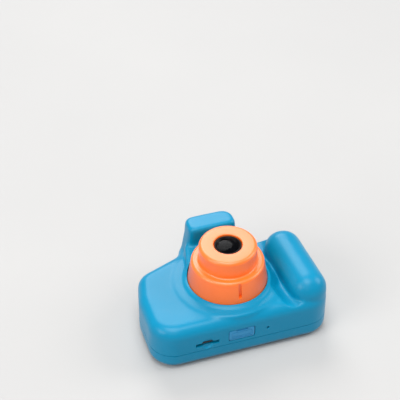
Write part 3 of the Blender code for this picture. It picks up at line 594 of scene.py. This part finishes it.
# Matt black nylon for everything round the light path, and a smoky glass coated against reflection:
# the low IOR stands for the coating, which leaves the glass almost black from any side.
BLACK_MATT = moulded("moulded_black_nylon", "17181B", 0.62, grain=0.2, depth=0.15)
LENS_GLASS = glass("coated_lens_glass", "1C1E25", "B8C4FF", ior=1.12, coat=0.0)
BEZEL_BLACK = smooth_black("satin_black_bezel", "030304", 0.30, 0.0, 1.18, "08090A")
bezel = at(lathe(outline((
    (5.3, 47.62, 0.0), (5.3, 48.0, 0.2), (6.25, 48.78, 0.3), (6.85, 48.78, 0.25), (6.85, 47.62, 0.0),
)), 128), 0.0, LENS_Y)
finish(bezel, "lens_bezel", BEZEL_BLACK, "camera_body", "lens_black", "lens_window")
dome = [(0.0, 48.5)] + [(r, 48.5 - 0.55 * (r / 5.25) ** 2) for r in (1.0, 2.0, 3.0, 4.0, 4.8, 5.25)]
dome = at(lathe(dome + [(5.25, 47.66), (0.0, 47.66)], 96), 0.0, LENS_Y)
finish(dome, "front_glass", LENS_GLASS, "camera_body", "lens_glass")
STEP_OUT, STEP_UP = 0.36, 0.82
steps = [(8.2, 46.4), (8.2, 45.5), (4.6, 40.6), (3.9, 40.6)]
for index in range(6):
    radius, height = 3.9 + STEP_OUT * index, 41.5 + STEP_UP * index
    steps += [(radius, height), (radius + STEP_OUT, height + 0.12)]
steps.append((6.1, 46.4))
hood = at(lathe(steps, 96), 0.0, LENS_Y)
finish(hood, "stray_light_cone", BLACK_MATT, "camera_body", "inner_black", "lens_hood", angle=25.0)
holder = at(lathe([(3.5, 43.4), (3.5, 38.0), (6.0, 38.0), (6.0, 33.6), (4.6, 33.6), (4.6, 36.5),
                   (2.3, 36.5), (2.3, 43.1), (2.6, 43.4)], 64), 0.0, LENS_Y)
finish(holder, "lens_holder", BLACK_MATT, "camera_body", "inner_black", "lens_module")
bead = at(lathe([(0.0, 43.05), (0.7, 42.98), (1.3, 42.75), (1.75, 42.4), (2.0, 42.0), (2.0, 39.6),
                 (1.2, 39.3), (0.0, 39.2)], 48), 0.0, LENS_Y)
finish(bead, "lens_bead", glass("plastic_lens_bead", "8A93B8", "C890FF"), "camera_body", "lens_glass",
       "lens_element")


# ---------------------------------------------------------------- screen
# The display under its hard clear window; the window's back is printed black round the picture area.
# Switched off, the panel looks like dark smoked glass inside a thin pressed metal frame.
def brushed(name, colour, rough, grain, stretch):
    """Metal with fine parallel brushing along one axis, which draws its lights out into streaks."""
    paint, tree, place = blank(name)
    along = node(tree, "Mapping", {"Scale": stretch}, {"Vector": place})
    hair = node(tree, "TexNoise", {"Scale": 1000 / grain, "Detail": 5.0, "Roughness": 0.7},
                {"Vector": along.outputs["Vector"]})
    sheen = node(tree, "MapRange", {"To Min": rough - 0.08, "To Max": rough + 0.10},
                 {"Value": hair.outputs["Fac"]})
    darker = tuple(v * 0.82 for v in linear(colour)[:3]) + (1.0,)
    tone = node(tree, "Mix", {"A": darker, "B": linear(colour)}, {"Factor": hair.outputs["Fac"]},
                data_type="RGBA")
    bump = node(tree, "Bump", {"Strength": 0.10, "Distance": 0.00003},
                {"Height": hair.outputs["Fac"]})
    output(tree, node(tree, "BsdfPrincipled", {"Metallic": 1.0},
                      {"Base Color": tone.outputs["Result"], "Roughness": sheen.outputs["Result"],
                       "Normal": bump.outputs["Normal"]}))
    return paint


# Plated steel: bright and a little warm, its lights drawn out along Y.
STEEL = brushed("nickel_plated_steel", "C9CACC", 0.30, 0.30, (1.0, 0.12, 1.0))
BLACK_GLOSS = smooth_black("gloss_black_enamel", "0B0B0D", 0.10, 0.6)
window = slab(pane(45.4, 35.4, 2.7), 0.3, 1.1, 0.2, steps=3)
finish(window, "screen_glass", glass("hard_acrylic", "B9BEC6", "E4ECFF", rough=0.02), "camera_body",
       "screen_black", "screen_window")
border = carve(slab(pane(45.2, 35.2, 2.6), 1.14, 1.34), slab(pane(40.4, 30.4, 1.4), 0.5, 2.0))
finish(border, "window_print", BLACK_GLOSS, "camera_body", "screen_black")
panel = slab(pane(48.0, 37.0, 1.0), 3.22, 5.6, 0.25, steps=2)
carve(panel, slab(pane(43.0, 33.0, 0.6), 2.0, 3.5))
finish(panel, "lcd_frame", STEEL, "camera_body", "cell_silver", "lcd_panel")


def display_finish():
    """Polariser over a switched-off display: smoked blue-black with the faintest grid of cells."""
    paint, tree, place = blank("smoked_polariser")
    cells = node(
        tree, "TexBrick",
        {"Scale": 1000 / 0.9, "Mortar Size": 0.06, "Color1": linear("12161D"),
         "Color2": linear("161B24"), "Mortar": linear("0A0C10")},
        {"Vector": place}, offset=0.0,
    )
    output(tree, node(tree, "BsdfPrincipled", {"Roughness": 0.22, "Coat Weight": 0.4},
                      {"Base Color": cells.outputs["Color"]}))
    return paint


active = slab(pane(42.8, 32.8, 0.5), 3.3, 3.7, 0.1, steps=2)
finish(active, "display_face", display_finish(), "camera_body", "screen_black")


# ---------------------------------------------------------------- keys on the back
# Seven orange ABS caps on the silicone keypad: dished faces with worn-in satin and raised white symbols.
# Orange like the barrel but plainer, and a chalky white pad print.
KEY_ABS = moulded("satin_orange_keycap", "FF6A22", 0.36, grain=0.22, depth=0.07, coat=0.2)
PRINT = moulded("white_pad_print", "F4F2EC", 0.5, grain=0.15, depth=0.1)


def triangle(x, y, size, turn, low, high):
    """An arrowhead that points along turn, as a thin solid."""
    corners = []
    for step in (0.0, 2.35, -2.35):
        swing = math.radians(turn) + step
        corners.append((x + size * math.cos(swing), y + size * math.sin(swing), size * 0.16))
    return slab(outline(corners, swing=30.0), low, high)


def tablet(x0, y0, x1, y1, radius, low, high, rim=0.0, steps=6):
    """A thin plate with rounded corners, between two heights."""
    corners = ((x0, y0, radius), (x1, y0, radius), (x1, y1, radius), (x0, y1, radius))
    return slab(outline(corners), low, high, rim, steps)


def symbol(name, x, y):
    """The raised symbol of one key, standing a tenth of a millimetre over its cap."""
    low, high = 0.42, 0.95
    turns = {"key_up": 90.0, "key_down": 270.0, "key_left": 180.0, "key_right": 0.0,
             "key_play": 0.0}
    if name in turns:
        size = 1.15 if name == "key_play" else 1.5
        return triangle(x, y, size, turns[name], low, high)
    if name == "key_menu":
        bars = [tablet(x - 1.1, y + s - 0.16, x + 1.1, y + s + 0.16, 0.1, low, high)
                for s in (-0.75, 0.0, 0.75)]
        return weld(*bars)
    return carve(drum((x, y, low), (x, y, high), 1.7, sides=64),
                 drum((x, y, 0), (x, y, 2), 1.25, sides=64))


for name, x, y, radius in KEYS:
    cap = lathe(outline((
        (0.0, 0.62, 0.0), (radius - 1.0, 0.62, 0.0), (radius - 0.35, 0.42, 0.2), (radius, 0.42, 0.3),
        (radius, 2.5, 0.0), (radius + 0.9, 2.5, 0.1), (radius + 0.9, 3.4, 0.1), (1.5, 3.4, 0.0),
        (1.5, 7.0, 0.2), (0.0, 7.0, 0.0),
    )), 72)
    finish(at(cap, x, y), name + "_cap", KEY_ABS, name, "key_orange", name, angle=40.0)
    finish(symbol(name, x, y), name + "_symbol", PRINT, name, "key_orange")


# ---------------------------------------------------------------- shutter and power buttons
# Two orange ABS buttons in the top wall, the large one for the shutter: domed caps on flanged stems that
# press right-angle switches on the board. The power button carries a raised ring and stroke.
def out_of_wall(item, spot):
    """Turns a piece made about the vertical axis to point out of the wall, and puts it there."""
    place, out = spot
    item.data.transform(out.to_track_quat("Z", "Y").to_matrix().to_4x4())
    return at(item, place.x, place.y, BUTTON_Z)


for name, spot, radius in (("shutter_button", SHUTTER, 4.4), ("power_button", POWER, 2.6)):
    cap = lathe(outline((
        (0.0, -6.0, 0.0), (1.4, -6.0, 0.2), (1.4, -3.1, 0.0), (radius + 0.9, -3.1, 0.1),
        (radius + 0.9, -2.3, 0.1), (radius, -2.3, 0.0), (radius, 1.9, 0.9), (radius * 0.62, 1.9, 0.6),
        (radius * 0.45, 1.65, 0.6), (0.0, 1.6, 0.0),
    )), 96)
    finish(out_of_wall(cap, spot), name + "_cap", KEY_ABS, name, "key_orange", name, angle=40.0)
ring = carve(drum((0, 0, 1.3), (0, 0, 1.82), 1.05, sides=48),
             drum((0, 0, 1), (0, 0, 3), 0.75, sides=48))
carve(ring, block((-0.35, 0.0, 1.0), (0.35, 2.0, 3.0)))
weld(ring, block((-0.14, 0.2, 1.3), (0.14, 1.2, 1.82)))
finish(out_of_wall(ring, POWER), "power_symbol", PRINT, "power_button", "key_orange")


# ---------------------------------------------------------------- port flap, charging socket and card
# A soft rubber flap on a moulded hinge strip covers the charging socket. The socket is folded steel with
# a black tongue and gilt contacts; beside it the memory card stands in its spring cage.
def rubber(name, colour):
    """Moulded TPE rubber: matt, with a soft bloom of scattered light over fine stipple."""
    paint, tree, place = blank(name)
    dust = node(tree, "TexNoise", {"Scale": 1000 / 2.5, "Detail": 5.0}, {"Vector": place})
    tone = node(tree, "Mix", {"A": linear(colour), "B": linear("1089BC")},
                {"Factor": dust.outputs["Fac"]}, data_type="RGBA")
    stipple = node(tree, "TexVoronoi", {"Scale": 1000 / 0.25}, {"Vector": place})
    bump = node(tree, "Bump", {"Strength": 0.2, "Distance": 0.00005},
                {"Height": stipple.outputs["Distance"]})
    output(tree, node(tree, "BsdfPrincipled", {"Roughness": 0.68, "Sheen Weight": 0.15},
                      {"Base Color": tone.outputs["Result"], "Normal": bump.outputs["Normal"]}))
    return paint


flap = tablet(-8.7, 11.3, 4.7, 17.9, 1.0, 30.76, 31.95, 0.22, steps=3)
nail_notch = tablet(-5.0, 16.9, 1.0, 19.0, 0.4, 31.45, 33.0)
hinge_line = tablet(-8.0, 12.1, 4.0, 12.5, 0.15, 31.7, 33.0)
panel_line = carve(tablet(-7.4, 13.2, 3.4, 16.3, 0.8, 31.8, 33.0),
                   tablet(-7.1, 13.5, 3.1, 16.0, 0.6, 30.0, 34.0))
carve(flap, weld(nail_notch, hinge_line, panel_line))
finish(upright(flap), "rubber_flap", rubber("moulded_tpe_blue", "0079AC"), "port_cover", "rubber_blue",
       "port_cover")

shell = tablet(-5.8, 12.3, 1.8, 15.0, 1.1, 25.0, 30.2)
carve(shell, tablet(-5.4, 12.7, 1.4, 14.6, 0.8, 25.8, 31.0))
finish(upright(shell), "socket_shell", STEEL, "camera_body", "steel", "usb_port")
tongue = block((-4.4, -29.7, 13.35), (0.4, -25.9, 13.95))
modify(tongue, "BEVEL", width=mm(0.12), segments=2)
finish(tongue, "socket_tongue", BLACK_MATT, "camera_body", "inner_black")
GILT = brushed("gilt_contact", "E3B75A", 0.25, 0.2, (1.0, 0.2, 1.0))
PIN_PITCH = 0.82
pins = [block((-4.05 + PIN_PITCH * k, -29.6, 13.96), (-3.65 + PIN_PITCH * k, -26.5, 14.04))
        for k in range(5)]
finish(weld(*pins), "socket_contacts", GILT, "camera_body", "steel")

card = slab(outline((
    (-25.5, -30.9, 0.6), (-14.5, -30.9, 0.6), (-14.5, -20.4, 0.4), (-15.6, -18.6, 0.4),
    (-15.6, -15.9, 0.6), (-25.5, -15.9, 0.6),
)), 12.9, 13.9, 0.12, steps=2)
carve(card, tablet(-24.6, -28.6, -15.4, -21.4, 0.5, 13.82, 15.0))
RIB_PITCH = 0.55
weld(card, *[block((-24.8, -30.5 + RIB_PITCH * k, 13.7), (-15.2, -30.25 + RIB_PITCH * k, 14.02))
             for k in range(3)])
CARD_BLACK = moulded("moulded_black_card", "1D1E22", 0.45, grain=0.2, depth=0.1)
finish(card, "card_body", CARD_BLACK, "memory_card", "card_black", "memory_card")
label = tablet(-24.5, -28.5, -15.5, -21.5, 0.4, 13.8, 13.86)
LABEL_FILM = moulded("satin_label_film", "5B6E86", 0.4, grain=0.5)
finish(label, "card_label", LABEL_FILM, "memory_card", "card_black")
PAD_PITCH = 1.15
pads = [block((-24.7 + PAD_PITCH * k, -19.3, 13.8), (-23.9 + PAD_PITCH * k, -16.5, 13.93))
        for k in range(8)]
finish(weld(*pads), "card_contacts", GILT, "memory_card", "card_black")


# ---------------------------------------------------------------- strap bar and screws
# A plated steel pin crosses the strap pocket. The case screws are plated pan heads with a cross recess,
# each sunk in its well in the back and driven into a post of the front cover.
pin = drum((45.0, -5.3, 15.5), (45.0, 5.3, 15.5), 0.9, sides=48)
modify(pin, "BEVEL", width=mm(0.15), segments=2, limit_method="ANGLE", angle_limit=math.radians(60))
finish(pin, "strap_pin", STEEL, "camera_body", "steel", "strap_bar")

head = lathe(outline((
    (0.0, -1.5, 0.0), (1.55, -1.5, 0.5), (2.0, -0.9, 0.4), (2.0, 0.0, 0.1), (1.0, 0.0, 0.0),
    (1.0, 12.6, 0.3), (0.4, 13.0, 0.1), (0.0, 13.0, 0.0),
)), 48)
recess = fuse(block((-1.05, -0.22, -2.5), (1.05, 0.22, -0.85)),
              block((-0.22, -1.05, -2.5), (0.22, 1.05, -0.85)))
carve(head, recess)
HEAD_Z = 3.6
for number, (x, y, _) in enumerate(POSTS, 1):
    copy = bpy.data.objects.new("screw", head.data.copy())
    bpy.context.collection.objects.link(copy)
    copy.data.transform(Matrix.Rotation(math.radians(37 * number), 4, "Z"))
    finish(at(copy, x, y, HEAD_Z), f"pan_screw_{number}", STEEL, "camera_body", "steel",
           f"case_screw_{number}")
bpy.data.objects.remove(head)


# ---------------------------------------------------------------- speaker and charge light
# A small black speaker is glued behind the grille, its cone towards the holes. A milky acrylic light guide
# is pressed into the back beside the keys, and brings out the light of a lamp on the board.
cone = at(lathe([(0.0, 5.6), (3.2, 5.6), (3.4, 4.2), (5.0, 4.2), (5.2, 3.6), (5.2, 2.6), (4.6, 2.6),
                 (4.0, 3.0), (1.6, 3.4), (1.0, 3.0), (0.0, 2.8)], 64), *SPEAKER)
finish(cone, "speaker_cone", BLACK_MATT, "camera_body", "inner_black", "speaker")
guide = at(lathe(outline((
    (0.0, 0.4, 0.0), (1.0, 0.4, 0.45), (1.0, 2.5, 0.0), (1.6, 2.5, 0.0), (1.6, 3.4, 0.0),
    (0.8, 3.4, 0.0), (0.8, 8.0, 0.0), (0.0, 8.0, 0.0),
)), 48), *LIGHT)
finish(guide, "light_guide", glass("milky_light_guide", "E8F2EC", "FFFFFF", rough=0.25), "camera_body",
       "light_clear", "indicator_light")


# ---------------------------------------------------------------- boards, cell and keypad inside
# Glass-epoxy boards under green mask, a foil-wrapped cell in the grip, an amber ribbon, a silicone keypad
# and steel cans. They keep their plain shapes, because only slivers of them show through the openings.
def masked_board():
    """Green solder mask: copper tracks show as a paler raster under a glossy, slightly uneven skin."""
    paint, tree, place = blank("green_solder_mask")
    tracks = node(
        tree, "TexBrick",
        {"Scale": 1000 / 2.4, "Mortar Size": 0.03, "Color1": linear("0B5A33"),
         "Color2": linear("0E6A3A"), "Mortar": linear("2A9158")},
        {"Vector": place},
    )
    skin = node(tree, "TexNoise", {"Scale": 1000 / 1.2}, {"Vector": place})
    bump = node(tree, "Bump", {"Strength": 0.15, "Distance": 0.00005},
                {"Height": skin.outputs["Fac"]})
    output(tree, node(tree, "BsdfPrincipled", {"Roughness": 0.3},
                      {"Base Color": tracks.outputs["Color"], "Normal": bump.outputs["Normal"]}))
    return paint


BOARD = masked_board()
SILICONE = moulded("moulded_silicone_grey", "A9AFB5", 0.6, grain=0.5, depth=0.1)
FOIL = brushed("embossed_cell_foil", "C4C6CA", 0.35, 0.6, (1.0, 0.5, 1.0))
AMBER = moulded("polyimide_ribbon", "B4701C", 0.35, grain=0.4, depth=0.05, coat=0.3)
for paint, names in (
    (BOARD, ("main_board", "sensor_board")),
    (SILICONE, ("keypad_membrane", "screen_gasket")),
    (FOIL, ("battery",)),
    (AMBER, ("sensor_ribbon",)),
    (STEEL, ("card_socket", "microphone", "barrel_screw_1", "barrel_screw_2", "barrel_screw_3",
             "board_screw_1", "board_screw_2")),
    (BLACK_MATT, ("main_chip", "shutter_switch", "power_switch")),
):
    for name in names:
        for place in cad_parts[name].material_slots:
            place.material = paint
